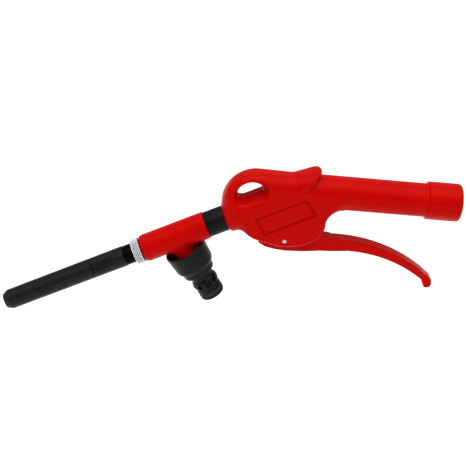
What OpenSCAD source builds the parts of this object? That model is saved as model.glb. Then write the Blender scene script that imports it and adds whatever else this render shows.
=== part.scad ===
// Air and water wash gun: a pistol-grip air valve with a finger lever, a straight barrel,
// and a tee on the barrel that lets water in through a garden-hose quick connector.
// The origin is the centre of the air inlet's mouth, at the free end of the handle.
// +X runs out of that mouth, +Z is the thumb side, and the XZ plane is the mid-plane.

/* [Handle] */
// Length of the handle axis, from the inlet mouth to where the barrel axis meets it
handle_len = 104.7; // [104:0.1:106]
// Diameter of the round handle
handle_d = 21.8; // [21.2:0.1:22.2]
// Diameter of the collar at the inlet end
collar_d = 24.6; // [24:0.1:25.5]
// Length of the collar
collar_len = 21; // [18:0.1:24]
// Thickness of the body across the cheeks
body_w = 22; // [21.6:0.1:23]

/* [Barrel] */
// Angle by which the barrel drops below the handle axis, in degrees
barrel_angle = 28.5; // [28:0.1:29]
// Outer diameter of the nose tube between the body and the tee
nose_d = 16.6; // [16:0.1:17]
// Bare length of the nose tube
nose_len = 13.3; // [13:0.1:15]
// Outer diameter of the tee
tee_d = 17.9; // [17.4:0.1:18.6]
// Length of the tee
tee_len = 44.2; // [42:0.1:46]
// Diameter of the knurled lock ring
ring_d = 16.9; // [16:0.1:17.4]
// Width of the knurled lock ring
ring_w = 5.6; // [5:0.1:7]
// Nozzle tube diameter at the lock ring
nozzle_d = 13.3; // [13:0.1:14]
// Nozzle tube diameter at the tip
nozzle_tip_d = 12.95; // [12.5:0.05:13]
// Length of the nozzle tube in front of the lock ring
nozzle_len = 90.6; // [80:0.1:100]
// Bore of the nozzle at the tip
outlet_d = 5; // [4:0.1:6]

/* [Water connector] */
// Outer diameter of the connector's cap nut
cap_d = 26.9; // [26.2:0.1:27.4]
// Diameter of the flange that the hose coupling snaps behind
flange_d = 17.3; // [17:0.1:17.5]
// Diameter of the sealing nose of the hose nipple
nipple_d = 16.2; // [15.9:0.1:16.4]
// Outer diameter of the threaded water boss, G1/2
boss_d = 20.9; // [20.6:0.05:20.95]
// Distance from the barrel axis to the nipple's end
connector_reach = 48.6; // [48:0.1:50]
// Lean of the water boss from square to the barrel, towards the body, in degrees
boss_lean = 7; // [0:0.5:8]

/* [Trigger] */
// Lever travel from rest to full squeeze, in degrees
lever_travel = 16; // [10:1:16]
// Distance from the pivot pin to the valve stem, along the handle
lever_arm = 11; // [10.8:0.1:11.4]
// Width of the lever inside the body's slot
lever_w = 8; // [7.4:0.1:8]
// Width of the finger part of the lever
lever_grip_w = 10; // [9:0.1:11]
// Diameter of the pivot pin
pin_d = 3; // [2.6:0.1:3]
// Diameter of the valve stem
stem_d = 3; // [2.6:0.1:3]

/* [Hidden] */
$fn = 64;

// Colours
red = [0.80, 0.05, 0.03];
black = [0.09, 0.09, 0.09];
rubber = [0.05, 0.05, 0.05];
brass = [0.78, 0.62, 0.30];
steel = [0.72, 0.73, 0.75];
zinc = [0.80, 0.82, 0.82];

// Clearances
gap = 0.05;          // radial running clearance of pins, stems and threads that turn
ease = 0.02;         // space left round a seal that sits in its groove
through = 1;         // how far a cutter runs past the face it opens
hull_fn = 32;        // roundness of the discs that the body's hulls join

// Body outline: the circles that its edge runs round, as [x, z, radius, edge round]
half_w = body_w / 2;
bend = [-handle_len, 0];
loop_disc = [-131.3, -11, 21.3, 9.5];
chin_disc = [-131, -22, 10.3, 4];
top_disc = [-104, -0.8, 11, 9.5];
heel_disc = [-96.5, -22.6, 9.9, 2];
sole_disc = [-112, -22, 15.2, 2];
mid_disc = [-104, -21.8, 14.4, 2];

// Edge rounds of the collar, at the mouth and towards the hand
mouth_r = 2.2;
collar_r = 0.5;

// Finger web between the handle and the cheeks
web_c = [-74.8, -19.8];
web_r = 10.2;
web_edge = 3;        // how far the edge falls back at the cheeks
web_core_w = 12;
web_steps = 2;

// Thumb horn: a tilted round flange, faired into the top of the body
horn_c = [-100.9, 7.4];
horn_r = 11.2;
horn_w = 3.6;
horn_tilt = 44;
horn_root = [-111, 0, 10.4];

// Hang hole: a half disc whose flat side is parallel to the barrel
hole_c = [-135.5, -6];
hole_r = 9.9;
hole_corner = 9;     // degrees of arc cut off at each corner
hole_throat = 3;     // half of the hole's narrow stretch, before the scoops
hole_scoop = 4.4;    // how much wider the scoops are at the cheeks
slice_w = 0.1;       // thickness of the outlines that the scoops are drawn between

// Label panel, in barrel coordinates
label_s = 14.2;
label_n = -10.3;
label_l = 35.4;
label_w = 12.8;
label_deep = 0.5;
label_r = 1.6;

// Trigger
pivot = [-110.9, -32.7];
stem_x = pivot[0] + lever_arm;
slot_w = lever_w + 0.6;
slot_left = -129;
slot_roof = -20;
stop_roof = -26.8;
pad_z = pivot[1] + 3.7;
stem_tip_r = stem_d / 2;
// how far the lever's pad lifts the stem's round tip at full squeeze
stem_lift = lever_arm * tan(lever_travel)
    + (pad_z - pivot[1] + stem_tip_r) * (1 / cos(lever_travel) - 1);
stem_hold = 1.6;     // how deep the stem sits in the poppet

// Valve stack, as heights in the valve bore
seat_top = -3;
seat_h = 4;
chamber_r = 5;
valve_bore_r = 6;
gland_top = -13;
gland_h = gland_top - slot_roof;
poppet_r = 4.4;
poppet_h = 2.6;
seal_r = 4;
seal_h = 1.8;
seat_hole_r = 2.75;
spring_wire = 0.7;
spring_turns = 4;
spring_r = 2.9;
spring_space = (spring_turns + 1) * spring_wire;    // what the spring needs when shut
chamber_top = seat_top + seal_h + poppet_h + stem_lift + spring_space;
flute_r = 6.2;

// Passages
air_r = 3.5;
cross_r = 2.6;
cross_x = -122;
inlet_insert_r = 8;
inlet_insert_len = 17;
inlet_minor_r = 5.7225;      // tapping radius of a G1/4 thread
inlet_thread_len = 12;

// Barrel stations, as distances from the bend along the barrel
body_front = 50.8;
socket_len = 14;
nose_boss_r = 10;
nose_boss_l = 26;
nose_edge = 3;
socket_r = 6.5;
socket_clear = 6;    // how far the socket's cutter runs on past the nose
tee_back = body_front + nose_len;
tee_front = tee_back + tee_len;
ring_front = tee_front + ring_w;
tail_len = 9;
nose_tail_r = 6;
nose_bore_r = 3;
tail_groove = 1;
tee_bore_r = 6;
stub_r = tee_bore_r - gap;
stub_len = 16;
nozzle_bore_r = 3.6;
nozzle_bore_end = 14;
jet_r = 2.9;
jet_flange_r = 4.3;
jet_flange_h = 2;
jet_bore_r = 1.5;
jet_seat = 3.5;      // depth of the jet's seat past the tee's back face
jet_len = 27;
jet_taper = 5;
boss_s = 84.2;
boss_end = 21.5;
boss_thread = 16.5;
boss_neck_d = 15.5;
boss_bore_r = 5;
washer_h = 1.8;         // flat washer between the boss and the nipple
washer_bore_r = 6.2;
nipple_bore_r = 4.5;
nipple_seal_s = 1.05;
nipple_seal_at = 3.5;   // from the nipple's end to the middle of its seal
nipple_seal_in = 0.9;   // from the nipple's surface to the middle of its seal
nipple_groove_h = 2.2;
nipple_groove_deep = 2;
tip_chamfer = 1.9;

// Seals: half of each round section
seal_s = 0.6;

function arc(c, r, a0, a1, n = 12) =
    [for (i = [0:n]) let (a = a0 + (a1 - a0) * i / n) [c[0] + r * cos(a), c[1] + r * sin(a)]];

// Extrudes an XZ outline across the mid-plane
module slab(w) {
    rotate([90, 0, 0])
        linear_extrude(height = w, center = true)
            children();
}

// Barrel coordinates: Z along the barrel from the bend, X to the thumb side
module on_barrel(s = 0) {
    translate([bend[0], 0, bend[1]])
        rotate([0, -(90 + barrel_angle), 0])
            translate([0, 0, s])
                children();
}

// Handle coordinates: Z from the mouth into the handle, X to the thumb side
module on_handle() {
    rotate([0, -90, 0])
        children();
}

// Valve coordinates: Z up the valve bore, at row heights
module on_valve(z = 0) {
    translate([stem_x, 0, z])
        children();
}

// Connector coordinates: Z away from the barrel axis, through the water boss
module on_boss(d = 0) {
    on_barrel(boss_s)
        rotate([0, -90 - boss_lean, 0])
            translate([0, 0, d])
                children();
}

module tube(r_out, r_in, h) {
    difference() {
        cylinder(r = r_out, h = h);
        translate([0, 0, -through])
            cylinder(r = r_in, h = h + 2 * through);
    }
}

// Seal ring with its centre circle at radius r
module o_ring(r, s = seal_s) {
    rotate_extrude()
        translate([r, 0])
            circle(r = s, $fn = 24);
}

// Disc with rounded edges, across the mid-plane
module puck(c) {
    translate([c[0], 0, c[1]])
        rotate([90, 0, 0])
            rotate_extrude($fn = hull_fn)
                polygon(concat(
                    [[0, -half_w]],
                    arc([c[2] - c[3], -half_w + c[3]], c[3], -90, 0, 6),
                    arc([c[2] - c[3], half_w - c[3]], c[3], 0, 90, 6),
                    [[0, half_w]]
                ));
}

// Pistol-grip body: shell

module body_plate() {
    hull() {
        puck(loop_disc);
        puck(chin_disc);
        puck(top_disc);
        puck(heel_disc);
        puck(mid_disc);
        puck(sole_disc);
    }
}

module thumb_horn() {
    hull() {
        translate([horn_root[0], 0, horn_root[1]])
            sphere(r = horn_root[2], $fn = hull_fn);
        translate([horn_c[0], 0, horn_c[1]])
            rotate([0, -horn_tilt, 0])
                rotate_extrude($fn = hull_fn)
                    polygon(concat(
                        [[0, -horn_w / 2]],
                        arc([horn_r - horn_w / 2, 0], horn_w / 2, -90, 90, 8),
                        [[0, horn_w / 2]]
                    ));
    }
}

module web(w, grow) {
    slab(w)
        polygon(concat(
            [[heel_disc[0], 0], [web_c[0], 0]],
            arc(web_c, web_r + grow, 90, 180),
            [[heel_disc[0] + heel_disc[2] - grow, heel_disc[1]], [heel_disc[0], heel_disc[1]]]
        ));
}

module handle_shell() {
    on_handle() {
        cylinder(d = handle_d, h = handle_len);
        rotate_extrude()
            polygon(concat(
                [[0, 0]],
                arc([collar_d / 2 - mouth_r, mouth_r], mouth_r, -90, 0, 6),
                arc([collar_d / 2 - collar_r, collar_len - collar_r], collar_r, 0, 90, 4),
                [[0, collar_len]]
            ));
    }
}

// Pistol-grip body: what is cut out of it

module hole_slice(w, grow) {
    drop = 1.2 * grow * [sin(barrel_angle), -cos(barrel_angle)];
    edge = arc(
        hole_c, hole_r + grow, barrel_angle + hole_corner, 180 + barrel_angle - hole_corner, 20
    );
    slab(w)
        polygon(concat([edge[0] + drop], edge, [edge[20] + drop]));
}

// Scooped out towards both cheeks, so that it can be seen and hung through at a slant
module hang_hole() {
    hole_slice(body_w, 0);
    for (side = [-1, 1])
        hull() {
            translate([0, side * hole_throat, 0])
                hole_slice(slice_w, 0);
            translate([0, side * (half_w + 0.5), 0])
                hole_slice(slice_w, hole_scoop);
        }
}

module lever_slot() {
    slab(slot_w)
        polygon([
            [slot_left, -50], [slot_left, stop_roof], [pivot[0] - 4, stop_roof],
            [pivot[0] - 4, slot_roof], [-70, slot_roof], [-70, -50]
        ]);
    on_valve(-50)
        cylinder(r = flute_r, h = 50 + slot_roof);
}

module label_recess(side) {
    on_barrel(label_s)
        translate([label_n, side * half_w, 0])
            rotate([90, 0, 0])
                linear_extrude(height = 2 * label_deep, center = true)
                    polygon(concat(
                        arc([label_w / 2 - label_r, label_l / 2 - label_r], label_r, 0, 90, 4),
                        arc([-label_w / 2 + label_r, label_l / 2 - label_r], label_r, 90, 180, 4),
                        arc([-label_w / 2 + label_r, -label_l / 2 + label_r], label_r, 180, 270, 4),
                        arc([label_w / 2 - label_r, -label_l / 2 + label_r], label_r, 270, 360, 4)
                    ));
}

module body_passages() {
    on_handle() {
        translate([0, 0, -through])
            cylinder(r = inlet_insert_r, h = inlet_insert_len + through);
        cylinder(r = air_r, h = -stem_x);
    }
    on_valve(seat_top)
        cylinder(r = chamber_r, h = chamber_top - seat_top);
    on_valve(slot_roof - through)
        cylinder(r = valve_bore_r, h = seat_top - slot_roof + through);
    // cross passage from under the seat to the barrel bore
    translate([cross_x, 0, tan(barrel_angle) * (cross_x + handle_len)]) {
        sphere(r = cross_r);
        rotate([0, 90, 0])
            cylinder(r = cross_r, h = stem_x - cross_x);
    }
    on_barrel((-cross_x - handle_len) / cos(barrel_angle))
        cylinder(r = cross_r, h = body_front);
    on_barrel(body_front - socket_len)
        cylinder(r = socket_r, h = socket_len + socket_clear);
}

module gun_body() {
    color(red)
        difference() {
            union() {
                body_plate();
                thumb_horn();
                for (step = [0:web_steps])
                    web(web_core_w + step * (body_w - web_core_w) / (web_steps + 0.2),
                        step * web_edge / web_steps);
                handle_shell();
                // round nose that the barrel screws into
                on_barrel(body_front - nose_boss_l)
                    rotate_extrude()
                        polygon(concat(
                            [[0, 0], [nose_boss_r, 0]],
                            arc([nose_boss_r - nose_edge, nose_boss_l - nose_edge], nose_edge, 0, 90, 6),
                            [[0, nose_boss_l]]
                        ));
            }
            body_passages();
            hang_hole();
            lever_slot();
            label_recess(-1);
            label_recess(1);
            // pivot pin, a light press in the cheeks
            translate([pivot[0], 0, pivot[1]])
                rotate([90, 0, 0])
                    cylinder(d = pin_d, h = body_w + 2 * through, center = true);
        }
}

// Air inlet: a brass insert in the collar, tapped for an air coupling
module inlet_insert() {
    color(brass)
        on_handle()
            difference() {
                cylinder(r = inlet_insert_r, h = inlet_insert_len);
                translate([0, 0, -through])
                    cylinder(r = inlet_minor_r, h = inlet_thread_len + through);
                cylinder(r = air_r, h = inlet_insert_len + through);
            }
}

// Trigger

lever_top_c = [-75, -132.2];
lever_top_r = 101;
lever_low_c = [-67.8, -127];
lever_low_r = 88;
lever_tip_c = [-12.1, -58.1];
lever_tip_r = 3.2;

module lever_grip_outline() {
    polygon(concat(
        [[-84.2, -40.3], [-84.2, -30.1]],
        arc(lever_top_c, lever_top_r, 92, 49.6, 20),
        arc(lever_tip_c, lever_tip_r, 30, -125, 8),
        arc(lever_low_c, lever_low_r, 54, 90, 16)
    ));
}

module lever_root_outline() {
    polygon([
        [-128.3, -34.2], [-127.2, -31.4], [-125, -28.6], [-121.5, -27.2], [pivot[0] - 5, -27],
        [pivot[0] - 1, -27.6], [pivot[0] + 4, pad_z], [-88, pad_z], [-84, -30.2], [-80, -31],
        [-80, -39.6], [-88, -40.9], [-98, -42], [-109, -42.3], [-116, -41.6], [-122, -40.2],
        [-126, -38]
    ]);
}

module trigger_lever() {
    color(red)
        difference() {
            union() {
                slab(lever_w)
                    lever_root_outline();
                slab(lever_grip_w)
                    lever_grip_outline();
            }
            translate([pivot[0], 0, pivot[1]])
                rotate([90, 0, 0])
                    cylinder(r = pin_d / 2 + gap, h = lever_grip_w, center = true);
        }
}

module pivot_pin() {
    color(steel)
        translate([pivot[0], 0, pivot[1]])
            rotate([90, 0, 0])
                cylinder(d = pin_d, h = body_w - 0.4, center = true);
}

// Air valve

module valve_stem() {
    stem_bottom = pad_z + gap;
    color(steel)
        union() {
            on_valve(stem_bottom + stem_tip_r)
                cylinder(d = stem_d, h = seat_top + seal_h - stem_bottom - stem_tip_r + stem_hold);
            on_valve(stem_bottom + stem_tip_r)
                sphere(r = stem_tip_r);
        }
}

module valve_poppet() {
    color(brass)
        on_valve(seat_top + seal_h)
            difference() {
                union() {
                    cylinder(r = poppet_r, h = poppet_h - 1);
                    cylinder(r = spring_r - spring_wire / 2 - 0.2, h = poppet_h);
                }
                translate([0, 0, -through])
                    cylinder(d = stem_d, h = stem_hold + through);
            }
}

module poppet_seal() {
    color(rubber)
        on_valve(seat_top)
            difference() {
                cylinder(r = seal_r, h = seal_h);
                translate([0, 0, -through])
                    cylinder(d = stem_d, h = seal_h + 2 * through);
            }
}

// Points of the spring's wire: one ring of the section at a turn of t degrees
function coil_ring(t, pitch, sides) =
    [for (k = [0:sides - 1])
        let (a = 360 * k / sides, r = spring_r + spring_wire / 2 * cos(a))
        [r * cos(t), r * sin(t), pitch * t / 360 + spring_wire / 2 * sin(a)]];

module valve_spring() {
    sides = 8;
    steps = 16 * spring_turns;
    base = seat_top + seal_h + poppet_h - 1 + spring_wire / 2 + ease;
    height = chamber_top - base - spring_wire / 2 - ease;
    pitch = height / spring_turns;
    rings = [for (i = [0:steps]) each coil_ring(360 * spring_turns * i / steps, pitch, sides)];
    sides_of = [for (i = [0:steps - 1], k = [0:sides - 1])
        let (a = i * sides + k, b = i * sides + (k + 1) % sides)
        each [[a, a + sides, b], [b, a + sides, b + sides]]];
    last = steps * sides;
    ends = [[for (k = [0:sides - 1]) k], [for (k = [sides - 1:-1:0]) last + k]];
    color(steel)
        on_valve(base)
            polyhedron(points = rings, faces = concat(sides_of, ends), convexity = 10);
}

module valve_seat() {
    groove_r = valve_bore_r - 2 * seal_s;
    color(brass)
        on_valve(seat_top - seat_h)
            difference() {
                tube(valve_bore_r, seat_hole_r, seat_h);
                translate([0, 0, seat_h / 2 - seal_s - ease])
                    tube(valve_bore_r + through, groove_r, 2 * (seal_s + ease));
            }
}

module seat_o_ring() {
    color(rubber)
        on_valve(seat_top - seat_h / 2)
            o_ring(valve_bore_r - seal_s, seal_s - ease);
}

module gland_bush() {
    color(brass)
        on_valve(slot_roof)
            difference() {
                cylinder(r = valve_bore_r, h = gland_h);
                translate([0, 0, -through])
                    cylinder(r = stem_d / 2 + gap, h = gland_h + 2 * through);
                translate([0, 0, gland_h - 2.4])
                    cylinder(r = stem_d / 2 + gap + 2 * seal_s + ease, h = 2.4 + through);
            }
}

module stem_o_ring() {
    color(rubber)
        on_valve(gland_top - 1.7)
            o_ring(stem_d / 2 + gap + seal_s, seal_s - ease);
}

// Barrel

module nose_tube() {
    groove_r = socket_r - 2 * seal_s;
    color(black)
        on_barrel(body_front)
            difference() {
                union() {
                    cylinder(d = nose_d, h = nose_len);
                    translate([0, 0, -socket_len + 0.5])
                        cylinder(r = socket_r, h = socket_len);
                    translate([0, 0, nose_len - through])
                        cylinder(r = nose_tail_r, h = tail_len + through);
                }
                translate([0, 0, -socket_len])
                    cylinder(r = nose_bore_r, h = socket_len + nose_len + tail_len);
                // groove for the seal in the body's socket
                translate([0, 0, -socket_len + 3])
                    tube(socket_r + through, groove_r, 2 * (seal_s + ease));
                // groove for the seal in the tee
                translate([0, 0, nose_len + tail_groove])
                    tube(nose_tail_r + through, nose_tail_r - 2 * seal_s, 2 * (seal_s + ease));
                // seat of the air jet
                translate([0, 0, nose_len + jet_seat])
                    cylinder(r = jet_flange_r, h = tail_len);
            }
}

module nose_o_ring() {
    color(rubber)
        on_barrel(body_front - socket_len + 3 + seal_s + ease)
            o_ring(socket_r - seal_s, seal_s - ease);
}

module tee_o_ring() {
    color(rubber)
        on_barrel(tee_back + tail_groove + seal_s + ease)
            o_ring(nose_tail_r - seal_s, seal_s - ease);
}

// The air jet runs down the middle of the tee, so that the water joins round it
module air_jet() {
    color(brass)
        on_barrel(tee_back + jet_seat)
            difference() {
                union() {
                    cylinder(r = jet_flange_r, h = jet_flange_h);
                    cylinder(r = jet_r, h = jet_len - jet_taper);
                    translate([0, 0, jet_len - jet_taper])
                        cylinder(r1 = jet_r, r2 = jet_bore_r + 0.5, h = jet_taper);
                }
                translate([0, 0, -through])
                    cylinder(r = jet_bore_r, h = jet_len + 2 * through);
            }
}

module jet_o_ring() {
    color(rubber)
        on_barrel(tee_back + jet_seat + jet_flange_h + seal_s)
            o_ring(jet_r + seal_s + ease, seal_s - ease);
}

module tee_body() {
    edge = 2;
    color(red)
        difference() {
            union() {
                on_barrel(tee_back)
                    rotate_extrude()
                        polygon(concat(
                            [[0, 0], [tee_d / 2 - 0.3, 0], [tee_d / 2, 0.4]],
                            arc([tee_d / 2 - edge, tee_len - edge], edge, 0, 90, 8),
                            [[0, tee_len]]
                        ));
                on_boss() {
                    cylinder(d = boss_neck_d, h = boss_end);
                    translate([0, 0, boss_thread])
                        cylinder(d = boss_d, h = boss_end - boss_thread);
                }
            }
            on_barrel(tee_back - through)
                cylinder(r = tee_bore_r, h = tee_len + 2 * through);
            on_boss(tee_bore_r - 2)
                cylinder(r = boss_bore_r, h = boss_end);
        }
}

module lock_ring() {
    edge = 0.5;
    color(zinc)
        on_barrel(tee_front + gap)
            difference() {
                rotate_extrude()
                    polygon([
                        [0, 0], [ring_d / 2 - edge, 0], [ring_d / 2, edge],
                        [ring_d / 2, ring_w - 2 * gap - edge], [ring_d / 2 - edge, ring_w - 2 * gap],
                        [0, ring_w - 2 * gap]
                    ]);
                translate([0, 0, -through])
                    cylinder(r = stub_r + gap, h = ring_w + 2 * through);
            }
}

module nozzle_tube() {
    flat_w = 9.2;
    flat_l = 14;
    color(black)
        on_barrel(ring_front)
            difference() {
                union() {
                    rotate_extrude()
                        polygon([
                            [0, 0], [nozzle_d / 2 - 0.5, 0], [nozzle_d / 2, 0.5],
                            [nozzle_tip_d / 2, nozzle_len - 2],
                            [nozzle_tip_d / 2 - tip_chamfer, nozzle_len], [0, nozzle_len]
                        ]);
                    translate([0, 0, -stub_len])
                        cylinder(r = stub_r, h = stub_len + through);
                }
                translate([0, 0, -stub_len - through])
                    cylinder(r = nozzle_bore_r, h = stub_len + nozzle_len - nozzle_bore_end);
                translate([0, 0, nozzle_len / 2])
                    cylinder(d = outlet_d, h = nozzle_len);
                // groove for the seal in the tee
                translate([0, 0, -stub_len + 3])
                    tube(stub_r + through, stub_r - 2 * seal_s, 2 * (seal_s + ease));
                // spanner flats
                for (side = [-1, 1])
                    translate([0, side * (flat_w / 2 + 5 + 1.4), 13 + flat_l / 2])
                        cube([20, 10, flat_l], center = true);
            }
}

module nozzle_o_ring() {
    color(rubber)
        on_barrel(ring_front - stub_len + 3 + seal_s + ease)
            o_ring(stub_r - seal_s, seal_s - ease);
}

// Water connector: a cap nut on the boss, with a hose nipple below

module hose_connector() {
    cap_top = 11.6;
    cap_low = 24.2;
    cap_taper = 0.65;
    cap_round = 3;
    end_round = 1.8;
    shoulder = 27.2;
    neck = 30.6;
    flange_at = 36.7;
    color(black)
        on_boss()
            difference() {
                rotate_extrude()
                    polygon(concat(
                        [[0, cap_top], [cap_d / 2 - 0.3, cap_top], [cap_d / 2, cap_top + 0.3]],
                        arc([cap_d / 2 - cap_taper - cap_round, cap_low - 0.6], cap_round, 0, 80, 5),
                        [[10.2, shoulder], [10.1, neck - 0.8], [9.2, neck], [7.4, neck + 0.8],
                         [7.35, flange_at - 2.6], [flange_d / 2 - 0.4, flange_at - 1.2],
                         [flange_d / 2, flange_at - 0.6], [flange_d / 2, flange_at + 0.6],
                         [flange_d / 2 - 0.6, flange_at + 1.6], [7.9, flange_at + 3.2],
                         [nipple_d / 2, flange_at + 4.6]],
                        arc([nipple_d / 2 - end_round, connector_reach - end_round], end_round, 0, 90, 6),
                        [[0, connector_reach]]
                    ));
                // thread on the boss, and the seat of the flat washer
                cylinder(d = boss_d, h = boss_end + washer_h);
                cylinder(r = nipple_bore_r, h = connector_reach + through);
                // groove of the nipple's seal
                translate([0, 0, connector_reach - nipple_seal_at - nipple_groove_h / 2])
                    tube(nipple_d / 2 + through, nipple_d / 2 - nipple_groove_deep, nipple_groove_h);
            }
}

module connector_washer() {
    color(rubber)
        on_boss(boss_end)
            tube(boss_d / 2 - 0.3, washer_bore_r, washer_h);
}

module nipple_o_ring() {
    color(rubber)
        on_boss(connector_reach - nipple_seal_at)
            o_ring(nipple_d / 2 - nipple_seal_in, nipple_seal_s);
}

gun_body();
inlet_insert();
trigger_lever();
pivot_pin();
valve_stem();
valve_poppet();
poppet_seal();
valve_spring();
valve_seat();
seat_o_ring();
gland_bush();
stem_o_ring();
nose_tube();
nose_o_ring();
air_jet();
jet_o_ring();
tee_body();
tee_o_ring();
lock_ring();
nozzle_tube();
nozzle_o_ring();
hose_connector();
connector_washer();
nipple_o_ring();
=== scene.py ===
"""Looks of the air and water wash gun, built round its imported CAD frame.

Lengths in this file are millimetres until they reach a mesh; Blender gets metres.
The body, the lever and the tee are implicit surfaces: a distance field is sampled on a grid and
meshed with surface nets, so that every joint between shapes is a smooth moulded fillet.
Turned pieces are revolved from a filleted profile, some with a pattern cut into them.
"""

import math

import bpy
import numpy as np
from mathutils import Matrix, Vector


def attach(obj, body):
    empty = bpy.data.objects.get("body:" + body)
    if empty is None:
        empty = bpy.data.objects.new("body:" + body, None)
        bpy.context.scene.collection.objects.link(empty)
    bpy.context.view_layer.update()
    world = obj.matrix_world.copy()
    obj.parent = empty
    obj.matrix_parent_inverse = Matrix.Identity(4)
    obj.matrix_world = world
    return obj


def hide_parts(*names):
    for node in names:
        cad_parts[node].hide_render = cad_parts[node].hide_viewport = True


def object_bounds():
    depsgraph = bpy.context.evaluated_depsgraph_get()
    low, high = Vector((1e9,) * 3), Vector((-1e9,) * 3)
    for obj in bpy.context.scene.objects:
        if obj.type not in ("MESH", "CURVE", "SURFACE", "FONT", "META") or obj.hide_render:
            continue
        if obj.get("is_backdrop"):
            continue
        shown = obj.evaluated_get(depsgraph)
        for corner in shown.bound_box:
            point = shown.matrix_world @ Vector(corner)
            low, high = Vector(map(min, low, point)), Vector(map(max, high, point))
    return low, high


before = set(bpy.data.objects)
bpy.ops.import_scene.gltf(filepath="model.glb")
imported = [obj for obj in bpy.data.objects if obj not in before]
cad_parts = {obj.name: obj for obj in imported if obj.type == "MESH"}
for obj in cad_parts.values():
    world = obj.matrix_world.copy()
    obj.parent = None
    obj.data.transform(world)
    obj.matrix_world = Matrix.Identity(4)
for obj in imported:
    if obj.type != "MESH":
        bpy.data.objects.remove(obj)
cad_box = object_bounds()

MM = 0.001
# the barrel's axis leaves the handle's axis at BEND and drops by BARREL_DEG
BARREL_DEG = 28.5
SIN_B = math.sin(math.radians(BARREL_DEG))
COS_B = math.cos(math.radians(BARREL_DEG))
BEND_X = -104.7
BEND = np.array([BEND_X, 0.0, 0.0])
BARREL = np.array([-COS_B, 0.0, -SIN_B])
BARREL_UP = np.array([-SIN_B, 0.0, COS_B])
# stations along the barrel, counted from the bend
SOCKET_BACK = 36.8
BODY_FRONT = 50.8
TEE_BACK = 63.7
TEE_FRONT = 108.6
RING_FRONT = 113.9
# the water boss leaves the barrel downwards and leans back by LEAN
BOSS_S = 84.2
LEAN = math.radians(7)
BOSS_AT = BEND + BARREL * BOSS_S
BOSS = -BARREL_UP * math.cos(LEAN) - BARREL * math.sin(LEAN)

# ---------------------------------------------------------------- places


class Place:
    """A local frame: z runs along the axis, x is its upper side."""

    def __init__(self, origin, z_axis):
        self.origin = np.array(origin, float)
        self.z = np.array(z_axis, float)
        self.y = np.array([0.0, 1.0, 0.0])
        self.x = np.cross(self.y, self.z)

    def out(self, p):
        """Points given in this frame, in the shared one."""
        return self.origin + p[:, :1] * self.x + p[:, 1:2] * self.y + p[:, 2:3] * self.z


WORLD = Place([0, 0, 0], [0, 0, 1])
ON_BARREL = Place(BEND, BARREL)
ON_HANDLE = Place([0, 0, 0], [-1, 0, 0])
ON_BOSS = Place(BOSS_AT, BOSS)


def across(x, z):
    """A place whose axis runs across the mid-plane."""
    place = Place([x, 0, z], [0, 0, 1])
    place.z = np.array([0.0, 1.0, 0.0])
    place.y = np.array([1.0, 0.0, 0.0])
    place.x = np.array([0.0, 0.0, 1.0])
    return place


# ---------------------------------------------------------------- meshes


def add_mesh(name, verts, faces, body, replaces, normals=None, sharp=35):
    """A closed mesh in the row frame that rides on a body and stands for CAD nodes."""
    v = np.asarray(verts, float)
    f = np.asarray(faces, np.int64)
    a, b, c, d = (v[f[:, k]] for k in range(4))
    volume = np.einsum("ij,ij->", a, np.cross(b, c)) + np.einsum("ij,ij->", a, np.cross(c, d))
    if volume < 0:
        f = f[:, ::-1]
    mesh = bpy.data.meshes.new(name)
    mesh.vertices.add(len(v))
    mesh.vertices.foreach_set("co", (v * MM).astype(np.float32).ravel())
    mesh.loops.add(f.size)
    mesh.loops.foreach_set("vertex_index", f.astype(np.int32).ravel())
    mesh.polygons.add(len(f))
    mesh.polygons.foreach_set("loop_start", np.arange(0, f.size, 4, dtype=np.int32))
    mesh.polygons.foreach_set("loop_total", np.full(len(f), 4, np.int32))
    mesh.update(calc_edges=True)
    mesh.polygons.foreach_set("use_smooth", np.ones(len(f), bool))
    if normals is not None:
        mesh.normals_split_custom_set_from_vertices(normals.astype(np.float32).tolist())
    else:
        mesh.set_sharp_from_angle(angle=math.radians(sharp))
    obj = bpy.data.objects.new(name, mesh)
    bpy.context.scene.collection.objects.link(obj)
    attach(obj, body)
    if replaces:
        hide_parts(*replaces)
    return obj


def cell_net(values, xs, ys, zs):
    """Surface nets on an uneven grid: vertices and quads of the zero surface."""
    shape = np.array(values.shape)
    cells = shape - 1
    inside = values < 0
    axes = (xs, ys, zs)
    total = np.zeros(int(np.prod(cells)))
    place = np.zeros((len(total), 3))
    strides = np.array([cells[1] * cells[2], cells[2], 1])
    quads = []
    for axis in range(3):
        lo = [slice(None)] * 3
        hi = [slice(None)] * 3
        lo[axis] = slice(0, -1)
        hi[axis] = slice(1, None)
        first = inside[tuple(lo)]
        crossing = np.argwhere(first != inside[tuple(hi)])
        i, j, k = crossing.T
        va = values[tuple(lo)][i, j, k]
        vb = values[tuple(hi)][i, j, k]
        t = va / (va - vb)
        point = np.stack([axes[n][crossing[:, n]] for n in range(3)], 1)
        line = axes[axis]
        point[:, axis] += t * (line[crossing[:, axis] + 1] - line[crossing[:, axis]])
        u, w = [n for n in range(3) if n != axis]
        around = []
        for du, dw in ((0, 0), (-1, 0), (-1, -1), (0, -1)):
            at = crossing.copy()
            at[:, u] += du
            at[:, w] += dw
            index = at @ strides
            total += np.bincount(index, minlength=len(total))
            for n in range(3):
                place[:, n] += np.bincount(index, weights=point[:, n], minlength=len(total))
            around.append(index)
        quad = np.stack(around, 1)
        flip = first[i, j, k] if axis != 1 else ~first[i, j, k]
        quad[flip] = quad[flip][:, ::-1]
        quads.append(quad)
    used = total > 0
    number = np.cumsum(used) - 1
    return place[used] / total[used, None], number[np.concatenate(quads)]


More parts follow.
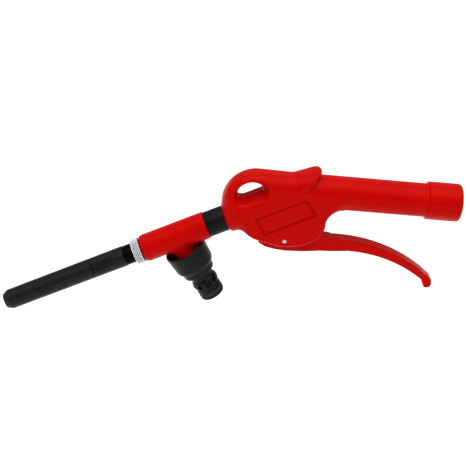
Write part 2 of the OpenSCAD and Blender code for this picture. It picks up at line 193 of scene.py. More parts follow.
def field_mesh(name, field, xs, ys, zs, place, body, replaces):
    """Meshes field(x, y, z) < 0, moves the vertices onto the surface and takes their normals from it."""
    xs, ys, zs = (np.asarray(a, float) for a in (xs, ys, zs))
    values = field(xs[:, None, None], ys[None, :, None], zs[None, None, :])
    verts, quads = cell_net(values, xs, ys, zs)

    def slope(p, h=0.04):
        g = np.empty_like(p)
        for n in range(3):
            step = np.zeros(3)
            step[n] = h
            ahead, behind = p + step, p - step
            g[:, n] = (field(*ahead.T) - field(*behind.T)) / (2 * h)
        return g

    for _ in range(3):
        g = slope(verts)
        size = np.maximum(np.einsum("ij,ij->i", g, g), 0.05)
        move = field(*verts.T) / size
        verts = verts - g * np.clip(move, -0.25, 0.25)[:, None]
    g = slope(verts, 0.08)
    g /= np.maximum(np.linalg.norm(g, axis=1, keepdims=True), 1e-9)
    normals = g[:, :1] * place.x + g[:, 1:2] * place.y + g[:, 2:3] * place.z
    return add_mesh(name, place.out(verts), quads, body, replaces, normals)


def soft_loop(points, turn=6):
    """Rounds the corners of a closed profile. Each point is (along, radius, corner round)."""
    pts = [np.array(p[:2], float) for p in points]
    out = []
    for i, p in enumerate(pts):
        r = points[i][2] if len(points[i]) > 2 else 0
        a, b = pts[i - 1] - p, pts[(i + 1) % len(pts)] - p
        la, lb = np.linalg.norm(a), np.linalg.norm(b)
        a, b = a / la, b / lb
        half = math.acos(float(np.clip(a @ b, -1, 1))) / 2
        if r <= 0 or half > math.radians(88):
            out.append(p)
            continue
        reach = min(r / math.tan(half), 0.48 * la, 0.48 * lb)
        r = reach * math.tan(half)
        middle = (a + b) / np.linalg.norm(a + b)
        centre = p + middle * r / math.sin(half)
        start, end = p + a * reach - centre, p + b * reach - centre
        a0 = math.atan2(start[1], start[0])
        sweep = (math.atan2(end[1], end[0]) - a0 + math.pi) % (2 * math.pi) - math.pi
        for k in range(turn + 1):
            t = a0 + sweep * k / turn
            out.append(centre + r * np.array([math.cos(t), math.sin(t)]))
    return out


def fine_loop(points, start, end, step):
    """Adds points to a closed loop between the stations start and end, no further apart than step."""
    out = []
    for i, p in enumerate(points):
        q = points[(i + 1) % len(points)]
        out.append(p)
        if min(p[0], q[0]) >= start - 1e-6 and max(p[0], q[0]) <= end + 1e-6:
            n = int(np.linalg.norm(np.array(q) - p) / step)
            out += [p + (q - p) * k / (n + 1) for k in range(1, n + 1)]
    return out


def revolve(name, loop, place, body, replaces, segs=128, shape=None, sharp=35):
    """Turns a closed loop of (along, radius) round the place's axis. shape may move the points."""
    loop = np.array(loop, float)
    n = len(loop)
    turn = np.arange(segs)[:, None] * 2 * math.pi / segs
    along = np.tile(loop[:, 0], (segs, 1))
    radius = np.tile(loop[:, 1], (segs, 1))
    x, y = radius * np.cos(turn), radius * np.sin(turn)
    if shape:
        x, y = shape(along, radius, np.tile(turn, (1, n)), x, y)
    verts = place.out(np.stack([x.ravel(), y.ravel(), along.ravel()], 1))
    i, j = np.meshgrid(np.arange(segs), np.arange(n), indexing="ij")
    i2, j2 = (i + 1) % segs, (j + 1) % n
    faces = np.stack([i * n + j, i2 * n + j, i2 * n + j2, i * n + j2], -1).reshape(-1, 4)
    return add_mesh(name, verts, faces, body, replaces, sharp=sharp)


# ---------------------------------------------------------------- distance fields


def smin(a, b, k):
    """Union of two fields with a fillet; k is how far it reaches."""
    h = np.maximum(k - np.abs(a - b), 0) / k
    return np.minimum(a, b) - h * h * k / 4


def smax(a, b, k):
    """Overlap of two fields with a softened edge."""
    return -smin(-a, -b, k)


def smooth(t):
    """Eases from 0 to 1 as t does."""
    t = np.clip(t, 0, 1)
    return t * t * (3 - 2 * t)


def tapered(x, z, a, b):
    """Distance to the hull of two discs, each (x, z, radius)."""
    px, pz = b[0] - a[0], b[1] - a[1]
    length = math.hypot(px, pz)
    px, pz = px / length, pz / length
    u = np.abs((x - a[0]) * -pz + (z - a[1]) * px)
    w = (x - a[0]) * px + (z - a[1]) * pz
    s = (a[2] - b[2]) / length
    c = math.sqrt(1 - s * s)
    k = -s * u + c * w
    flat = u * c + w * s - a[2]
    first = np.hypot(u, w) - a[2]
    second = np.hypot(u, w - length) - b[2]
    return np.where(k < 0, first, np.where(k > c * length, second, flat))


def polygon(x, z, points):
    """Exact signed distance to a polygon in the plane."""
    pts = np.asarray(points, float)
    best = np.full(np.broadcast(x, z).shape, 1e9)
    inside = np.zeros(best.shape, bool)
    for i in range(len(pts)):
        a, b = pts[i], pts[i - 1]
        ex, ez = b - a
        wx, wz = x - a[0], z - a[1]
        t = np.clip((wx * ex + wz * ez) / max(ex * ex + ez * ez, 1e-12), 0, 1)
        best = np.minimum(best, (wx - ex * t) ** 2 + (wz - ez * t) ** 2)
        above = z >= a[1]
        below = z < b[1]
        left = ex * wz - ez * wx > 0
        inside ^= (above & below & left) | (~above & ~below & ~left)
    return np.where(inside, -1, 1) * np.sqrt(best)


def round_edge(a, b, r):
    """Overlap of two fields whose common edge has the radius r."""
    a = a + r
    b = b + r
    return np.minimum(np.maximum(a, b), 0) + np.hypot(np.maximum(a, 0), np.maximum(b, 0)) - r


def extruded(flat, y, half, r):
    """An outline given thickness, with its edges rounded by r."""
    return round_edge(flat, np.abs(y) - half, r)


def rod(u, v, w, radius, lo, hi, k=0.6):
    """A capped cylinder along w."""
    return smax(np.hypot(u, v) - radius, np.abs(w - (lo + hi) / 2) - (hi - lo) / 2, k)


def arc(c, r, a0, a1, n):
    """n points on a circle, from the angle a0 to a1 in degrees."""
    turn = np.radians(np.linspace(a0, a1, n))
    return [(c[0] + r * math.cos(t), c[1] + r * math.sin(t)) for t in turn]


# ---------------------------------------------------------------- gun body

# discs (x, z, radius) whose hull is the loop and the cheeks
OUTLINE = [
    (-131.5, -11, 21.7), (-112, -22, 15.2), (-104, -21.8, 14.4),
    (-96.5, -22.6, 9.9), (-104, -0.8, 11),
]
CHIN_DEG = 30.3
CHIN_OUT = 95.2
# the web between the handle and the cheeks, with the quarter round over the lever
WEB = [
    (-96.5, 0), (-74.6, 0), (-74.6, -10.7), (-78.2, -10.8), (-80.5, -11.1), (-82.6, -11.9),
    (-84.2, -13.3), (-85.3, -15.2), (-85.8, -17.0), (-85.9, -18.8), (-86.3, -22.6), (-96.5, -22.6),
]
HALF = 11.0
EDGE_FULL = 9.5
EDGE_TIGHT = 2.2
GRIP_R = 10.9
COLLAR_R = 12.3
COLLAR_EDGE = 2.2
COLLAR_LONG = 22.2
NOSE_BOSS_R = 10.0
NOSE_BOSS_BACK = 24.8
HOLE = (-134.9, -6.3)
HOLE_R = 9.8
PIVOT = (-110.9, -32.7)
PIN_R = 1.5
LEVER_SLOT = 4.3
STEM_X = -99.9
VALVE_BORE_R = 6.0
CHAMBER_R = 5.0
CHAMBER_TOP = 8.264
INLET_R = 8.0
INLET_DEEP = 17.0
AIR_R = 2.6
HANDLE_AIR_R = 3.5
SOCKET_R = 6.5
HORN_ROOT = (-110.6, 0.1, 9.8)
HORN_TIP = (-100.9, 7.6, 1.8)
HORN_TILT = math.radians(44)
HORN_FLANGE_R = 9.4
LABEL_AT = BEND + BARREL * 14.2 + BARREL_UP * -10.3
PANEL_HALF = (18.2, 6.9)
PANEL_SKEW = 0.13
RIB_STEP = 4.2
RIB_AREA = (13.4, 3.3)


def barrel_xyz(x, z):
    """Height above the barrel axis and station along it."""
    dx = x - BEND[0]
    return dx * BARREL_UP[0] + z * BARREL_UP[2], dx * BARREL[0] + z * BARREL[2]


def horn(x, y, z):
    """Thumb horn: the hull of a ball in the body and a tilted round flange."""
    ax, az = -math.sin(HORN_TILT), math.cos(HORN_TILT)
    best = None
    for t in np.linspace(0, 1, 40):
        cx, cz, edge = (a + (b - a) * t for a, b in zip(HORN_ROOT, HORN_TIP))
        dx, dz = x - cx, z - cz
        high = dx * ax + dz * az
        flat = np.hypot(dx * az - dz * ax, y)
        d = np.hypot(np.maximum(flat - HORN_FLANGE_R * t, 0), high) - edge
        best = d if best is None else np.minimum(best, d)
    return best


def label(x, y, z):
    """What the sunk panels take away, leaving a row of bent ribs standing on their floor."""
    along = (x - LABEL_AT[0]) * BARREL[0] + z * BARREL[2] - LABEL_AT[2] * BARREL[2]
    high = (x - LABEL_AT[0]) * BARREL_UP[0] + (z - LABEL_AT[2]) * BARREL_UP[2]
    along = along - PANEL_SKEW * high
    panel = extruded(np.abs(along) - PANEL_HALF[0], high, PANEL_HALF[1], 2.5)
    lean = along + 0.45 * np.abs(high)
    rib = np.abs((lean + RIB_STEP / 2) % RIB_STEP - RIB_STEP / 2) - 0.75
    rib = np.maximum(np.maximum(rib, np.abs(high) - RIB_AREA[1]), np.abs(along) - RIB_AREA[0])
    floor = HALF - 1.35 + 1.05 * smooth((-panel - 0.9) / 1.5) + 0.42 * smooth(0.5 - rib / 0.7)
    return smax(panel, floor - np.abs(y), 0.5)


def cheeks(x, y, z):
    """The loop and the cheeks: the discs' hull, full round over the top and tight below."""
    plate = polygon(x, z, [p[:2] for p in OUTLINE])
    for a, b in zip(OUTLINE, OUTLINE[1:] + OUTLINE[:1]):
        plate = np.minimum(plate, tapered(x, z, a, b))
    chin = math.radians(CHIN_DEG)
    plate = smax(plate, -math.sin(chin) * x - math.cos(chin) * z - CHIN_OUT, 1.2)
    # bearing in degrees from the middle of the cheeks: 0 is back, 90 is up
    turn = np.degrees(np.arctan2(z + 14, x + 118)) % 360
    gain = EDGE_FULL - EDGE_TIGHT
    edge = np.where(
        turn < 60,
        EDGE_TIGHT + gain * smooth((turn - 2) / 30),
        EDGE_FULL - gain * smooth((turn - 196) / 42),
    )
    return extruded(plate, y, HALF, edge)


def nose_boss(x, y, z):
    """The round boss that holds the nose tube; its edge is fuller at the top."""
    up, station = barrel_xyz(x, z)
    edge = 2.6 + 3.6 * smooth((up + 1) / 9)
    boss = round_edge(np.hypot(up, y) - NOSE_BOSS_R, station - BODY_FRONT, edge)
    return np.maximum(boss, NOSE_BOSS_BACK - station)


def inlet_collar(x, y, z):
    """The thicker end of the handle round the air inlet."""
    collar = round_edge(np.hypot(y, z) - COLLAR_R, x, COLLAR_EDGE)
    return smax(collar, -COLLAR_LONG - x, 0.7)


def gun_shell(x, y, z):
    """The body's outside, without its hole, slot and bores."""
    grip = np.maximum(np.hypot(y, z) - GRIP_R, np.abs(x + 53) - 52)
    core = smin(cheeks(x, y, z), grip, 1.6)
    web = extruded(polygon(x, z, WEB), y, HALF, 2.4 + 7.6 * smooth((x + 86) / 11))
    core = smin(core, web, 1.6)
    core = smin(core, nose_boss(x, y, z), 3.5)
    core = smax(core, np.abs(y) - HALF - 0.03, 0.3)
    core = smin(core, horn(x, y, z), 0.7)
    return smin(core, inlet_collar(x, y, z), 0.6)


def hang_hole(x, y, z):
    """The D-shaped finger hole, dished towards both sides."""
    u, w = x - HOLE[0], z - HOLE[1]
    up = u * BARREL_UP[0] + w * BARREL_UP[2]
    along = u * BARREL[0] + w * BARREL[2]
    grow = 0.52 * (np.sqrt((np.maximum(np.abs(y) - 2.4, 0)) ** 2 + 1.5) - 1.2247)
    corner = 2.8 + 4.4 * smooth((along + 1) / 8) + 1.6 * grow
    return smax(np.hypot(u, w) - HOLE_R - grow, 1.3 - up - 1.1 * grow, corner)


def gun_field(x, y, z):
    """The whole body: the outside less the hole, the lever's slot, the bores and the panels."""
    up, station = barrel_xyz(x, z)
    d = gun_shell(x, y, z)
    d = smax(d, -hang_hole(x, y, z), 2.6)
    slot = np.maximum(-129 - x, np.where(x < PIVOT[0] - 4, z + 26.8, z + 20))
    slot = smax(smax(slot, x + 70, 0.4), np.abs(y) - LEVER_SLOT, 0.4)
    d = smax(d, -slot, 0.7)
    # the valve's bore, open to the slot, and its chamber
    d = smax(d, -rod(x - STEM_X, y, z, VALVE_BORE_R + 0.2, -50, -20), 0.4)
    d = smax(d, -rod(x - STEM_X, y, z, VALVE_BORE_R, -21, -3, 0.2), 0.2)
    d = smax(d, -rod(x - STEM_X, y, z, CHAMBER_R, -4, CHAMBER_TOP, 0.2), 0.2)
    # the inlet and the air passage of the handle
    d = smax(d, -rod(y, z, x, INLET_R, -INLET_DEEP, 3, 0.2), 0.4)
    d = smax(d, -rod(y, z, x, HANDLE_AIR_R, STEM_X, 3, 0.2), 0.2)
    # the cross passage from the valve, the passage down the barrel and the nose tube's socket
    cross_x = -122
    cross_z = math.tan(math.radians(BARREL_DEG)) * (cross_x - BEND_X)
    d = smax(d, -rod(y, z - cross_z, x, AIR_R, cross_x, STEM_X, 0.2), 0.2)
    d = smax(d, -rod(up, y, station, AIR_R, (BEND_X - cross_x) / COS_B, 60, 0.2), 0.2)
    d = smax(d, -rod(up, y, station, SOCKET_R, SOCKET_BACK, 60, 0.2), 0.3)
    pin = np.hypot(x - PIVOT[0], z - PIVOT[1])
    d = smax(d, -(pin - PIN_R - 0.35 * smooth((np.abs(y) - 10.6) / 0.4)), 0.25)
    near = np.abs(x - LABEL_AT[0]) + np.abs(z - LABEL_AT[2]) < 34
    return np.where(near, smax(d, -label(x, y, z), 0.7), d)


def spaced(*runs):
    """Grid lines: each run is (start, end, step)."""
    out = []
    for start, end, step in runs:
        n = max(1, int(round((end - start) / step)))
        out += list(start + (end - start) * np.arange(n) / n)
    return np.array(out + [runs[-1][1]])


def both_sides(*runs):
    """Grid lines on both sides of the mid-plane, none of them on it."""
    side = spaced(*runs)
    return np.concatenate([-side[::-1], side])


gun = field_mesh(
    "gun_shell", gun_field,
    spaced(
        (-154, -94.5, 0.42), (-94.5, -68, 0.6), (-68, -23, 1.3),
        (-23, -19, 0.4), (-19, -4, 0.8), (-4, 1.2, 0.35),
    ),
    both_sides((0.27, 9.4, 0.62), (9.4, 11.7, 0.23), (11.7, 13.2, 0.5)),
    spaced((-38.6, -28, 0.42), (-28, -4, 0.4), (-4, 20, 0.5)),
    WORLD, "gun", ["gun_body"],
)

# ---------------------------------------------------------------- lever

# outlines in the mid-plane: the root round the pin, then the long curved grip
LEVER_ROOT = [
    (-128.4, -34.6), (-127.2, -31.4), (-125, -28.6), (-121.5, -27.2), (-115.9, -27),
    (-111.9, -27.6), (-106.9, -29), (-88, -29), (-84, -30.2), (-80, -31), (-80, -39.6),
    (-88, -41.3), (-98, -42.5), (-109, -42.9), (-116, -42.3), (-122, -41), (-126, -38.8),
]
LEVER_GRIP = (
    [(-85.0, -40.8), (-85.0, -29.8)]
    + arc((-75, -132.2), 101, 92, 49.6, 24)
    + arc((-12.1, -58.1), 3.2, 30, -125, 9)
    + arc((-67.8, -127), 88, 54, 90, 20)
)


def lever_field(x, y, z):
    """The lever: narrow inside the body's slot, wider along the grip."""
    flat = smin(polygon(x, z, LEVER_ROOT), polygon(x, z, LEVER_GRIP), 1.2)
    half = 4 + smooth((x + 85.2) / 7)
    d = extruded(flat, y, half, 0.95)
    return smax(d, -(np.hypot(x - PIVOT[0], z - PIVOT[1]) - PIN_R - 0.05), 0.25)


lever = field_mesh(
    "finger_lever", lever_field,
    spaced((-130, -84, 0.55), (-84, -8, 0.7)),
    both_sides((0.3, 3.3, 0.6), (3.3, 5.6, 0.33)),
    spaced((-63, -26, 0.5)),
    WORLD, "trigger", ["trigger_lever"],
)

# ---------------------------------------------------------------- tee

TEE_R = 8.95
TEE_BORE_R = 6.0
NECK_R = 6.9
THREAD_R = 10.4
THREAD_PITCH = 1.814
THREAD_MID = 19.0
BOSS_BORE_R = 5.0


def tee_field(x, y, s):
    """The tee: a tube on the barrel, the neck of the water boss and the boss's thread."""
    ring = np.hypot(x, y)
    tube = smax(ring - TEE_R, s - TEE_FRONT, 3.6)
    tube = smax(tube, TEE_BACK - s, 0.7)
    # boss coordinates: reach runs away from the barrel, lean beside it
    ds = s - BOSS_S
    reach = -x * math.cos(LEAN) - ds * math.sin(LEAN)
    lean = -x * math.sin(LEAN) + ds * math.cos(LEAN)
    neck = rod(lean - 0.7, y, reach, NECK_R, 0, 21.5, 0.6)
    body = smin(tube, neck, 3.8)
    turn = np.arctan2(lean, y) / (2 * math.pi)
    wave = np.abs(((reach / THREAD_PITCH + turn) % 1) - 0.5) * 2
    crest = np.hypot(lean, y) - THREAD_R + 0.8 * (1 - wave)
    thread = smax(crest, np.abs(reach - THREAD_MID) - 2.5, 0.6)
    body = smin(body, thread, 0.5)
    body = smax(body, TEE_BORE_R - ring, 0.5)
    return smax(body, -rod(lean, y, reach, BOSS_BORE_R, 4, 25, 0.3), 0.4)


tee = field_mesh(
    "tee_shell", tee_field,
    spaced((-23, -9.4, 0.4), (-9.4, 9.8, 0.48)),
    both_sides((0.24, 11.2, 0.48)),
    spaced((63, 65.2, 0.36), (65.2, 104.5, 0.55), (104.5, 109, 0.38)),
    ON_BARREL, "gun", ["tee_body"],
)

# ---------------------------------------------------------------- turned pieces

# every profile is a closed loop of (station, radius, corner round) about its own axis
nose = revolve(
    "nose_tube_turned",
    soft_loop([
        (37.3, 3.0), (37.3, SOCKET_R, 0.4), (39.8, SOCKET_R), (39.8, 5.3), (41.04, 5.3), (41.04, SOCKET_R),
        (BODY_FRONT, SOCKET_R), (BODY_FRONT, 8.3, 0.25), (TEE_BACK, 8.3, 0.3), (TEE_BACK, 6.0),
        (65.1, 6.0), (65.1, 4.8),
        (66.34, 4.8), (66.34, 6.0), (73.1, 6.0, 0.5), (73.1, 4.3), (67.6, 4.3), (67.6, 3.0),
    ]),
    ON_BARREL, "gun", ["nose_tube"],
)


RING_BACK = 108.65
KNURL_BACK = 109.0
KNURL_FRONT = 113.5
KNURL_COUNT = 30
KNURL_LEAD = 0.56
KNURL_DEEP = 0.75


def polar(radius, turn):
    """A point of a turned piece from its radius and turn."""
    return radius * np.cos(turn), radius * np.sin(turn)


def groove(phase):
    """How deep a knurl groove is at a phase: 0 on the lands, 1 in the middle of each groove."""
    saw = np.abs(phase % 1 - 0.5) * 2
    return np.clip(1.35 * saw - 0.35, 0, 1)


def knurled(along, radius, turn, x, y):
    """Two crossed sets of grooves leave a diamond pattern on the rim."""
    round_it = turn * KNURL_COUNT / (2 * math.pi)
    slant = along * KNURL_LEAD
    depth = KNURL_DEEP * np.maximum(groove(round_it + slant), groove(round_it - slant)) ** 1.3
    edge = smooth((along - KNURL_BACK) / 0.35) * smooth((KNURL_FRONT - along) / 0.35)
    return polar(np.where(radius > 8, radius - depth * edge, radius), turn)


ring_loop = soft_loop([
    (RING_BACK, 6.0), (RING_BACK, 7.95), (109.05, 8.5, 0.1),
    (113.4, 8.5, 0.1), (RING_FRONT - 0.05, 7.95), (RING_FRONT - 0.05, 6.0),
], 2)
ring = revolve(
    "lock_ring_knurled", fine_loop(ring_loop, KNURL_BACK, KNURL_FRONT, 0.15),
    ON_BARREL, "ring", ["lock_ring"], segs=504, shape=knurled, sharp=60,
)


# the nozzle tube's stations are counted from the ring's front
STUB_BACK = RING_FRONT - 16
STUB_R = 5.95
GROOVE_BACK = RING_FRONT - 13
GROOVE_FRONT = RING_FRONT - 11.76
FLATS_BACK = RING_FRONT + 14
FLATS_CUT = RING_FRONT + 28
FLATS_FRONT = RING_FRONT + 29.3
CHAMFER = RING_FRONT + 87
TIP = RING_FRONT + 90.6
STEP = 0.02
FLAT_DEG = 27
FLAT_SIDE = (math.sin(math.radians(FLAT_DEG)), -math.cos(math.radians(FLAT_DEG)))


def flatted(along, radius, turn, x, y):
    """Two spanner flats near the lock ring, with a deeper cut at the far end."""
    zone = (along > FLATS_BACK) & (along < FLATS_FRONT) & (radius > 5.5)
    flat = np.where(along > FLATS_CUT, 5.3, 5.95)
    across_flats = x * FLAT_SIDE[0] + y * FLAT_SIDE[1]
    cut = np.where(zone, np.clip(across_flats, -flat, flat) - across_flats, 0)
    return x + cut * FLAT_SIDE[0], y + cut * FLAT_SIDE[1]


nozzle_loop = soft_loop([
    (STUB_BACK, 3.6), (STUB_BACK, STUB_R, 0.4), (GROOVE_BACK, STUB_R),
    (GROOVE_BACK, 4.75), (GROOVE_FRONT, 4.75), (GROOVE_FRONT, STUB_R),
    (RING_FRONT, STUB_R), (RING_FRONT, 6.35, 0.2), (RING_FRONT + 6.4, 6.35), (RING_FRONT + 6.7, 6.65, 0.1),
    (FLATS_BACK - STEP, 6.62), (FLATS_BACK + STEP, 6.62), (FLATS_CUT - STEP, 6.58),
    (FLATS_CUT + STEP, 6.58), (FLATS_FRONT - STEP, 6.58), (FLATS_FRONT + STEP, 6.58),
    (CHAMFER, 6.475, 0.6), (TIP, 4.65, 0.8), (TIP, 3.0, 0.3), (TIP - 0.5, 2.5),
    (RING_FRONT + 76.6, 2.5), (RING_FRONT + 75.5, 3.6),
])
nozzle = revolve(
    "nozzle_turned", fine_loop(nozzle_loop, RING_FRONT + 1, CHAMFER, 1.9),
    ON_BARREL, "nozzle", ["nozzle_tube"], segs=144, shape=flatted, sharp=28,
)


POCKET_COUNT = 9
POCKET_DEG = 256.8
POCKET_DEEP = 1.5


def pocketed(along, radius, turn, x, y):
    """Moulded pockets round the nipple's flange, the first of them at POCKET_DEG."""
    zone = smooth((along - 35.6) / 0.6) * smooth((39.3 - along) / 0.6)
    window = smooth((np.cos((turn - math.radians(POCKET_DEG)) * POCKET_COUNT) + 0.15) / 0.6)
    return polar(np.where(radius > 6.5, radius - POCKET_DEEP * zone * window, radius), turn)


# the cap round the boss's thread, its shoulder, then the hose nipple with its seal groove
connector_loop = soft_loop([
    (9.9, 12.75, 0.2), (9.9, 13.65, 0.3), (10.4, 13.85, 0.3), (22.6, 12.85, 0.5), (23.1, 12.45, 0.2),
    (23.6, 12.5, 0.2), (25.0, 11.5, 0.9), (25.3, 10.9, 0.3), (27.2, 10.7), (29.4, 10.4, 0.6),
    (30.6, 8.8, 0.6), (31.2, 7.4, 0.5), (33.6, 7.3, 0.7), (35.0, 8.2, 0.4), (36.2, 8.6, 0.4),
    (38.8, 8.65, 0.5), (40.1, 7.75, 0.4), (41.2, 7.7, 0.3), (41.8, 8.1, 0.2), (44.0, 8.1, 0.15),
    (44.0, 6.1), (46.2, 6.1), (46.2, 8.1, 0.15), (48.6, 7.95, 1.3), (48.6, 4.5, 0.4),
    (23.3, 4.5), (23.3, 10.45), (16.5, 10.45), (16.3, 12.5, 0.3),
], 5)
connector = revolve(
    "connector_moulded", fine_loop(connector_loop, 34.9, 40.2, 0.25),
    ON_BOSS, "gun", ["hose_connector"], segs=180, shape=pocketed, sharp=40,
)


INLET_PITCH = 25.4 / 19


def threaded(along, radius, turn, x, y):
    """The inlet's thread: 19 turns to the inch, run out at both ends."""
    wave = 1 - np.abs(((along / INLET_PITCH + turn / (2 * math.pi)) % 1) - 0.5) * 2
    fade = smooth((along - 0.5) / 0.8) * smooth((11.8 - along) / 0.8)
    return polar(np.where((radius < 6.2) & (radius > 5), radius + 0.75 * wave * fade, radius), turn)


insert_loop = soft_loop([
    (0.02, 5.95, 0.2), (0.02, INLET_R, 0.25), (INLET_DEEP, INLET_R), (INLET_DEEP, HANDLE_AIR_R),
    (12, HANDLE_AIR_R), (12, 5.7225), (0.45, 5.7225),
], 3)
insert = revolve(
    "inlet_threaded", fine_loop(insert_loop, 0.4, 12.01, 0.18),
    ON_HANDLE, "gun", ["inlet_insert"], segs=96, shape=threaded, sharp=50,
)
PIN_END = 10.75
pin = revolve(
    "pivot_pin_turned",
    soft_loop([(-PIN_END, 0.02), (-PIN_END, PIN_R, 0.55), (PIN_END, PIN_R, 0.55), (PIN_END, 0.02)]),
    across(*PIVOT), "gun", ["pivot_pin"], segs=48,
)

# ---------------------------------------------------------------- materials


def new_material(name, base, rough, metal=0.0, spec=0.5):
    """A Principled material with its constants on the shader's own sockets."""
    m = bpy.data.materials.new(name)
    m.use_nodes = True
    t = m.node_tree
    shader = t.nodes["Principled BSDF"]
    shader.inputs["Base Color"].default_value = (*base, 1)
    shader.inputs["Roughness"].default_value = rough
    shader.inputs["Metallic"].default_value = metal
    shader.inputs["Specular IOR Level"].default_value = spec
    return m, t, shader


def noise(t, scale, detail=4.0, stretch=None, turn=None):
    """Noise in object coordinates; stretch squeezes it along one axis, for turned or drawn lines."""
    coord = t.nodes.new("ShaderNodeTexCoord")
    out = coord.outputs["Object"]
    if stretch:
        mapping = t.nodes.new("ShaderNodeMapping")
        mapping.inputs["Rotation"].default_value = turn or (0, 0, 0)
        mapping.inputs["Scale"].default_value = stretch
        t.links.new(out, mapping.inputs["Vector"])
        out = mapping.outputs["Vector"]
    n = t.nodes.new("ShaderNodeTexNoise")
    n.inputs["Scale"].default_value = scale
    n.inputs["Detail"].default_value = detail
    t.links.new(out, n.inputs["Vector"])
    return n.outputs["Fac"]


def ranged(t, value, lo, hi, from_lo=0.3, from_hi=0.7):
    """Maps from_lo..from_hi to lo..hi; the usual source range suits noise."""
    r = t.nodes.new("ShaderNodeMapRange")
    r.inputs["From Min"].default_value = from_lo
    r.inputs["From Max"].default_value = from_hi
    r.inputs["To Min"].default_value = lo
    r.inputs["To Max"].default_value = hi
    t.links.new(value, r.inputs["Value"])
    return r.outputs["Result"]


def tinted(t, shader, value, a, b):
    """Base colour that drifts between a and b."""
    mix = t.nodes.new("ShaderNodeMix")
    mix.data_type = "RGBA"
    mix.inputs["A"].default_value = (*a, 1)
    mix.inputs["B"].default_value = (*b, 1)
    t.links.new(value, mix.inputs["Factor"])
    t.links.new(mix.outputs["Result"], shader.inputs["Base Color"])


def bumped(t, shader, value, strength, distance, under=None):
    """Bump from a height, laid over the bump under it."""
    b = t.nodes.new("ShaderNodeBump")
    b.inputs["Strength"].default_value = strength
    b.inputs["Distance"].default_value = distance
    t.links.new(value, b.inputs["Height"])
    if under:
        t.links.new(under, b.inputs["Normal"])
    t.links.new(b.outputs["Normal"], shader.inputs["Normal"])
    return b.outputs["Normal"]


def moulded(name, pale, dark, rough, grain, spec):
    """Injection-moulded plastic: slow colour drift, uneven gloss, sink waviness and a fine grain."""
    m, t, shader = new_material(name, pale, rough, spec=spec)
    tinted(t, shader, ranged(t, noise(t, 55, 3), 0, 1), pale, dark)
    t.links.new(ranged(t, noise(t, 240, 5), rough - 0.05, rough + 0.08), shader.inputs["Roughness"])
    wave = bumped(t, shader, noise(t, 90, 2), 0.12, 0.0006)
    bumped(t, shader, noise(t, grain, 3), 0.10, 0.00008, wave)
    return m


def turned(name, pale, dark, rough, metal, turn, spec=0.5):
    """Turned metal: fine rings round the axis and a little handling haze."""
    m, t, shader = new_material(name, pale, rough, metal, spec)
    tinted(t, shader, ranged(t, noise(t, 160, 4), 0, 1), pale, dark)
    rings = noise(t, 1.0, 3, (30, 30, 2600), turn)
    t.links.new(ranged(t, rings, rough - 0.07, rough + 0.1), shader.inputs["Roughness"])
    bumped(t, shader, rings, 0.12, 0.00006)
    return m


def barrel_vector(t, operation):
    """The object coordinate from the bend, dotted or crossed with the barrel's direction."""
    coord = t.nodes.new("ShaderNodeTexCoord")
    from_bend = t.nodes.new("ShaderNodeVectorMath")
    from_bend.operation = "SUBTRACT"
    from_bend.inputs[1].default_value = BEND * MM
    t.links.new(coord.outputs["Object"], from_bend.inputs[0])
    product = t.nodes.new("ShaderNodeVectorMath")
    product.operation = operation
    product.inputs[1].default_value = BARREL
    t.links.new(from_bend.outputs["Vector"], product.inputs[0])
    return product


def shaded(t, shader, value, dark):
    """Turns the base colour to dark where value is 0."""
    mix = t.nodes.new("ShaderNodeMix")
    mix.data_type = "RGBA"
    mix.inputs["A"].default_value = (*dark, 1)
    t.links.new(shader.inputs["Base Color"].links[0].from_socket, mix.inputs["B"])
    t.links.new(value, mix.inputs["Factor"])
    t.links.new(mix.outputs["Result"], shader.inputs["Base Color"])


def paint_shade_beside_ring(material):
    """Painted shade on the nozzle's shoulder beside the ring: its base colour goes deeper black there and
    its specular is lowered.
    """
    t = material.node_tree
    shader = t.nodes["Principled BSDF"]
    station = barrel_vector(t, "DOT_PRODUCT").outputs["Value"]
    start = (RING_FRONT + 6.1) * MM
    end = start + 0.8 * MM
    # painted shade: the base colour turns near black next to the ring
    shaded(t, shader, ranged(t, station, 0, 1, start, end), (0.0006, 0.0006, 0.0007))
    t.links.new(ranged(t, station, 0.04, 0.15, start, end), shader.inputs["Specular IOR Level"])


def paint_groove_shade(material):
    """Painted shade in the knurl's grooves: dark below its lands, by distance from the barrel's axis."""
    t = material.node_tree
    size = t.nodes.new("ShaderNodeVectorMath")
    size.operation = "LENGTH"
    t.links.new(barrel_vector(t, "CROSS_PRODUCT").outputs["Vector"], size.inputs[0])
    land = ranged(t, size.outputs["Value"], 0, 1, 0.00785, 0.0082)
    # painted shade: the grooves turn dark grey, the lands keep the zinc colour
    shaded(t, t.nodes["Principled BSDF"], land, (0.012, 0.014, 0.013))


NO_TURN = (0, 0, 0)
ALONG_BARREL = (0, -math.radians(90 - BARREL_DEG), 0)
RED = moulded("red_moulded", (0.525, 0.0012, 0.0006), (0.470, 0.0005, 0.0004), 0.32, 1900, 0.08)
RED.node_tree.nodes["Principled BSDF"].inputs["Specular Tint"].default_value = (1.0, 0.42, 0.30, 1)
BLACK = moulded("black_moulded", (0.0060, 0.0055, 0.0054), (0.0036, 0.0033, 0.0033), 0.36, 2200, 0.12)
TUBE = moulded("nose_moulded", (0.0034, 0.0052, 0.0046), (0.0022, 0.0036, 0.0032), 0.36, 2200, 0.10)
ANODISED = turned(
    "black_anodised", (0.0090, 0.0076, 0.0074), (0.0054, 0.0045, 0.0044), 0.32, 0.0, ALONG_BARREL, 0.14
)
paint_shade_beside_ring(ANODISED)
ZINC = turned("zinc_knurled", (0.86, 0.90, 0.88), (0.72, 0.76, 0.74), 0.36, 0.3, ALONG_BARREL)
paint_groove_shade(ZINC)
STEEL = turned("steel_drawn", (0.62, 0.56, 0.53), (0.50, 0.46, 0.44), 0.30, 0.8, NO_TURN)
BRASS = turned("brass_turned", (0.80, 0.58, 0.25), (0.66, 0.46, 0.18), 0.28, 1.0, NO_TURN)
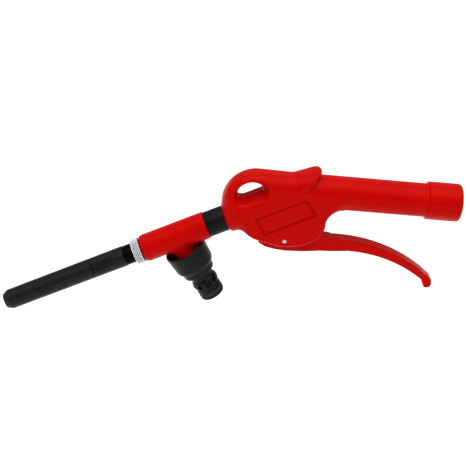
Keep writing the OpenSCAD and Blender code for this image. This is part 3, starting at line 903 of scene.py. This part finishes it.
SEAL = moulded("seal_rubber", (0.014, 0.014, 0.014), (0.009, 0.009, 0.009), 0.62, 2600, 0.35)


def paint(obj, material):
    """The object's only material."""
    obj.data.materials.clear()
    obj.data.materials.append(material)


for obj, material in (
    (gun, RED), (lever, RED), (tee, RED), (nose, TUBE), (ring, ZINC), (nozzle, ANODISED),
    (connector, BLACK), (insert, BRASS), (pin, STEEL),
):
    paint(obj, material)

# the inner pieces keep their CAD meshes, smoothed between sharp edges
KEPT = {
    "valve_stem": STEEL, "valve_spring": STEEL, "valve_poppet": BRASS, "valve_seat": BRASS,
    "gland_bush": BRASS, "air_jet": BRASS, "poppet_seal": SEAL, "seat_o_ring": SEAL,
    "stem_o_ring": SEAL, "nose_o_ring": SEAL, "jet_o_ring": SEAL, "tee_o_ring": SEAL,
    "nozzle_o_ring": SEAL, "connector_washer": SEAL, "nipple_o_ring": SEAL,
}
for node, material in KEPT.items():
    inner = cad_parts[node]
    paint(inner, material)
    inner.data.polygons.foreach_set("use_smooth", np.ones(len(inner.data.polygons), bool))
    inner.data.set_sharp_from_angle(angle=math.radians(35))

# ---------------------------------------------------------------- stage, light, camera

# from here on lengths are metres
FLOOR_Z = -0.30
FLOOR_HALF = 9.0
corners = [(-1, -1), (1, -1), (1, 1), (-1, 1)]
mesh = bpy.data.meshes.new("floor")
mesh.from_pydata([(i * FLOOR_HALF, j * FLOOR_HALF, FLOOR_Z) for i, j in corners], [], [(0, 1, 2, 3)])
floor = bpy.data.objects.new("floor", mesh)
bpy.context.scene.collection.objects.link(floor)
floor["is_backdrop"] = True
PALE, t, shader = new_material("floor_pale", (0.93, 0.93, 0.93), 0.9, spec=0.1)
shader.inputs["Emission Color"].default_value = (1, 1, 1, 1)
shader.inputs["Emission Strength"].default_value = 0.10
tinted(t, shader, ranged(t, noise(t, 3, 2), 0, 1), (0.93, 0.93, 0.93), (0.91, 0.91, 0.915))
paint(floor, PALE)

world = bpy.data.worlds.new("studio")
bpy.context.scene.world = world
world.use_nodes = True
world.node_tree.nodes["Background"].inputs["Color"].default_value = (1, 1, 1, 1)
# bright overhead, dim at the horizon, so that round pieces show a darker band along their side
t = world.node_tree
coord = t.nodes.new("ShaderNodeTexCoord")
split = t.nodes.new("ShaderNodeSeparateXYZ")
t.links.new(coord.outputs["Generated"], split.inputs["Vector"])
t.links.new(ranged(t, split.outputs["Z"], 0.16, 0.66, 0.02, 0.75), t.nodes["Background"].inputs["Strength"])

# one very wide sun stands for the soft box overhead; it is aimed at the middle of the gun
CENTRE = Vector((-0.14, 0, -0.03))
SUN_AT = Vector((-0.3, -0.35, 1.5))
sun = bpy.data.lights.new("sky", "SUN")
sun.energy = 2.3
sun.angle = math.radians(60)
sky = bpy.data.objects.new("sky", sun)
bpy.context.scene.collection.objects.link(sky)
sky.location = SUN_AT
sky.rotation_euler = (CENTRE - SUN_AT).to_track_quat("-Z", "Y").to_euler()

# the camera's place and its own axes; its picture is rolled a little against the ground
EYE = Vector((-0.27359, -0.97320, 0.45871))
RIGHT = Vector((0.98951, -0.06990, 0.12640))
UP = Vector((-0.08040, 0.46045, 0.88403))
BACK = Vector((-0.12, -0.88493, 0.45)).normalized()
camera_data = bpy.data.cameras.new("camera")
camera_data.sensor_width = 36
camera_data.lens = 130.9174
camera_data.clip_start = 0.05
camera_data.clip_end = 50
camera = bpy.data.objects.new("camera", camera_data)
bpy.context.scene.collection.objects.link(camera)
axes = Matrix((RIGHT, UP, BACK)).transposed()
camera.matrix_world = Matrix.Translation(EYE) @ axes.to_4x4()
bpy.context.scene.camera = camera
bpy.context.scene.view_settings.view_transform = "Standard"

bpy.context.view_layer.update()
visual_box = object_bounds()
boxes = {"cad": cad_box, "visual": visual_box}
{k: [list(map(float, corner)) for corner in box] for k, box in boxes.items()}
